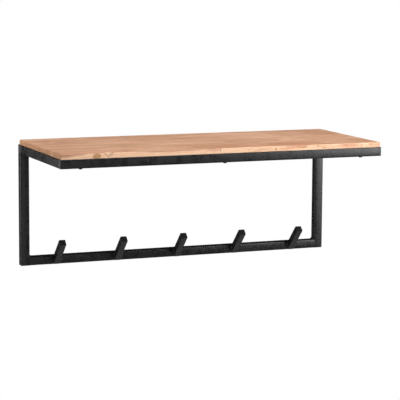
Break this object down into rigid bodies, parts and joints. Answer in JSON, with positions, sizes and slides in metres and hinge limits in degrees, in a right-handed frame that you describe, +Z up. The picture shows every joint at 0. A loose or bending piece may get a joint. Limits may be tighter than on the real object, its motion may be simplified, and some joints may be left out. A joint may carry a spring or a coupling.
{
  "type": "wall coat rack",
  "caption": "Wall-mounted coat rack: a timber shelf board on a welded black square-tube frame, with a lower rail of slanted square hook bars.",
  "frame": {"origin": "on the wall, midway between the two wall screw holes in the rear rail", "axes": "+X along the rack to the right as seen from the room, +Y into the wall, +Z up"},
  "size_m": [0.75, 0.315, 0.285],
  "materials": {
    "frame_coat": "satin black powder coat on welded steel tube",
    "wood": "matt lacquered acacia, glued staves",
    "plug_plastic": "black moulded plastic",
    "screw_steel": "black zinc plated"
  },
  "bodies": {
    "root": {"board_stave_1": "wood", "board_stave_2": "wood", "board_stave_3": "wood", "board_stave_4": "wood", "front_rail": "frame_coat", "rear_rail": "frame_coat", "left_side_rail": "frame_coat", "right_side_rail": "frame_coat", "left_upright": "frame_coat", "right_upright": "frame_coat", "bottom_rail": "frame_coat", "hook_1": "frame_coat", "hook_1_plug": "plug_plastic", "hook_2": "frame_coat", "hook_2_plug": "plug_plastic", "hook_3": "frame_coat", "hook_3_plug": "plug_plastic", "hook_4": "frame_coat", "hook_4_plug": "plug_plastic", "hook_5": "frame_coat", "hook_5_plug": "plug_plastic", "left_upright_plug": "plug_plastic", "right_upright_plug": "plug_plastic", "front_rail_left_plate": "frame_coat", "front_rail_right_plate": "frame_coat", "rear_rail_left_plate": "frame_coat", "rear_rail_right_plate": "frame_coat", "frame_welds": "frame_coat", "hook_welds": "frame_coat", "ground_seams": "frame_coat", "board_screws": "screw_steel"}
  },
  "joints": []
}
